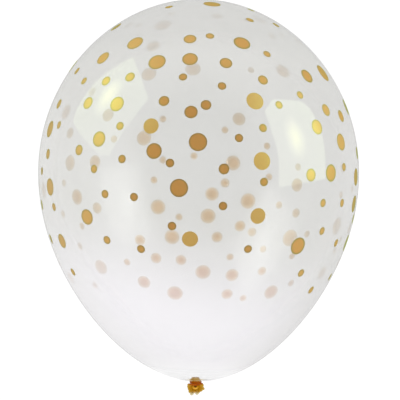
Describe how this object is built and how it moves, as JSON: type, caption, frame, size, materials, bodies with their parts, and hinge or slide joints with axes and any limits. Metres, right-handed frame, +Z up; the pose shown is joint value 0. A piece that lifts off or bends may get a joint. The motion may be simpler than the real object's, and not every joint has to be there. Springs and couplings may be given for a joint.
{
  "type": "confetti print balloon",
  "caption": "Blown-up and tied clear latex party balloon with a band of printed gold dots, lying on its side on a small flat spot.",
  "frame": {"origin": "on the floor, under the middle of the whole length and of the width", "axes": "+Z up, +Y along the balloon's axis from the tail to the crown, +X to the right with the crown ahead"},
  "size_m": [0.3, 0.3716, 0.2975],
  "materials": {
    "clear_latex": "clear and glossy, unstretched and amber at the knot and tail, with metallic gold ink dots"
  },
  "bodies": {
    "root": {"balloon": "clear_latex"}
  },
  "joints": []
}
